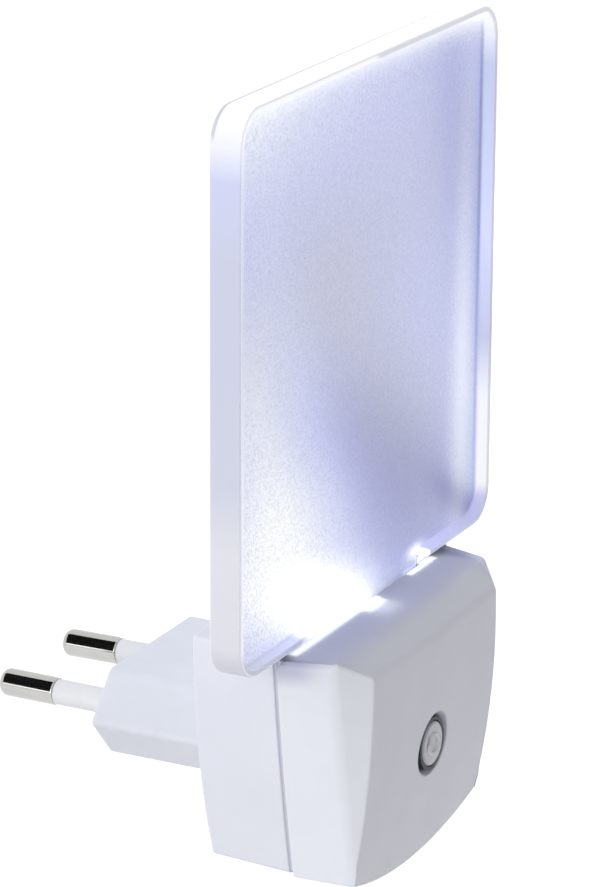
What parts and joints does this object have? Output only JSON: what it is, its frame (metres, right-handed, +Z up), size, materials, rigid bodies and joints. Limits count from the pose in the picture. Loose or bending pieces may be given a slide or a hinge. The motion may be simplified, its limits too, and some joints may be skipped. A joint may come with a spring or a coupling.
{
  "type": "plug-in night light",
  "caption": "Plug-in night light: a tapered two-shell casing with a two-pin plug block, a dusk sensor and an upright frosted light panel.",
  "frame": {"origin": "middle of the plug's face, midway between the two pins", "axes": "+Y along the pins into the wall socket, -Y into the room, +Z up through the light panel, +X to the right as seen from the room"},
  "size_m": [0.0786, 0.0641, 0.1139],
  "materials": {
    "casing_white": "fine satin white moulding",
    "plug_white": "fine satin white moulding",
    "panel_frost": "frosted clear plastic with a fine grain",
    "pin_nickel": "bright nickel plate",
    "sleeve_white": "smooth white insulation",
    "lens_milky": "milky clear plastic",
    "shroud_dark": "dark grey moulding",
    "cell_ceramic": "ceramic disc with a thin lacquer",
    "board_green": "green board lacquer",
    "film_yellow": "moulded yellow case",
    "can_blue": "blue sleeve on an aluminium can",
    "chip_black": "black moulded case",
    "resistor_grey": "grey lacquer",
    "resistor_tan": "tan lacquer",
    "diode_glass": "orange glass body",
    "holder_white": "white moulding",
    "led_clear": "clear cast body",
    "wire_brown": "brown insulation",
    "wire_blue": "blue insulation",
    "screw_steel": "zinc-plated steel"
  },
  "bodies": {
    "root": {"rear_casing": "casing_white", "front_casing": "casing_white", "light_panel": "panel_frost", "plug_block": "plug_white", "left_pin": "pin_nickel", "right_pin": "pin_nickel", "left_pin_sleeve": "sleeve_white", "right_pin_sleeve": "sleeve_white", "sensor_lens": "lens_milky", "sensor_shroud": "shroud_dark", "light_sensor": "cell_ceramic", "circuit_board": "board_green", "film_capacitor": "film_yellow", "smoothing_capacitor": "can_blue", "bridge_rectifier": "chip_black", "fuse_resistor": "resistor_grey", "bleed_resistor": "resistor_tan", "transistor": "chip_black", "zener_diode": "diode_glass", "led_holder": "holder_white", "left_led": "led_clear", "middle_led": "led_clear", "right_led": "led_clear", "live_wire": "wire_brown", "neutral_wire": "wire_blue", "casing_screws": "screw_steel"}
  },
  "joints": []
}
